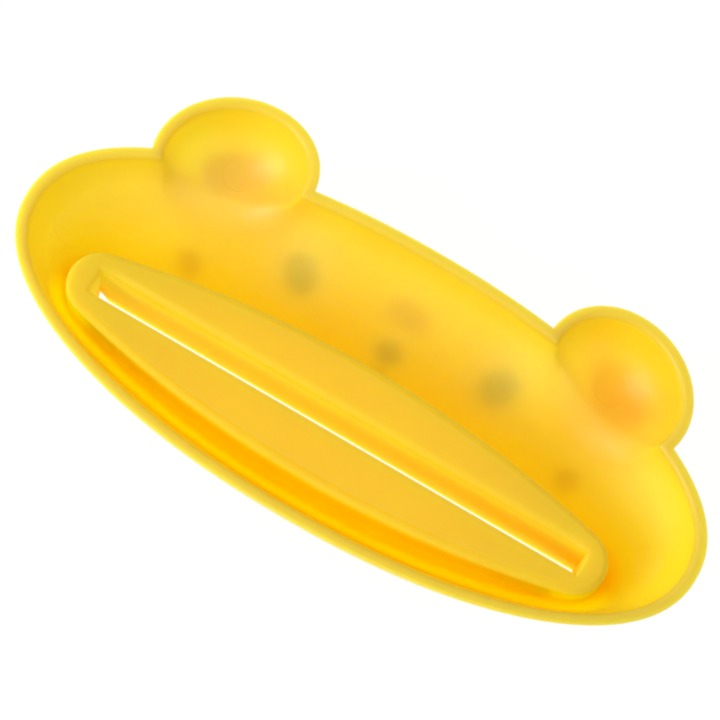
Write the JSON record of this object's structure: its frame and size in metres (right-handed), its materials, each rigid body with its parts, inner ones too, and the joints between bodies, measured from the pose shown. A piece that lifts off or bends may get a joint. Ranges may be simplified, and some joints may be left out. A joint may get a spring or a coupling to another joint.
{
  "type": "toothpaste tube squeezer",
  "caption": "Open moulded dish in the shape of a round-eared animal face, with a long narrow mouth slot that a toothpaste tube is drawn through to squeeze it flat.",
  "frame": {"origin": "middle of the outline, at the height of the front of the face, which the part lies on", "axes": "+X along the face from the left cheek to the right as seen from the open side, +Y from the chin to the ears, +Z out of the open side"},
  "size_m": [0.0952, 0.046, 0.0199],
  "materials": {
    "shell_plastic": "translucent warm yellow moulding, softly polished",
    "dark_ink": "thin dark brown print",
    "coral_ink": "thin coral print",
    "orange_ink": "thin orange print"
  },
  "bodies": {
    "root": {"squeezer_shell": "shell_plastic", "left_eye": "dark_ink", "right_eye": "dark_ink", "nose": "dark_ink", "muzzle_line": "dark_ink", "left_cheek": "coral_ink", "right_cheek": "coral_ink", "left_ear_patch": "orange_ink", "right_ear_patch": "orange_ink", "brow_spot": "coral_ink"}
  },
  "joints": []
}
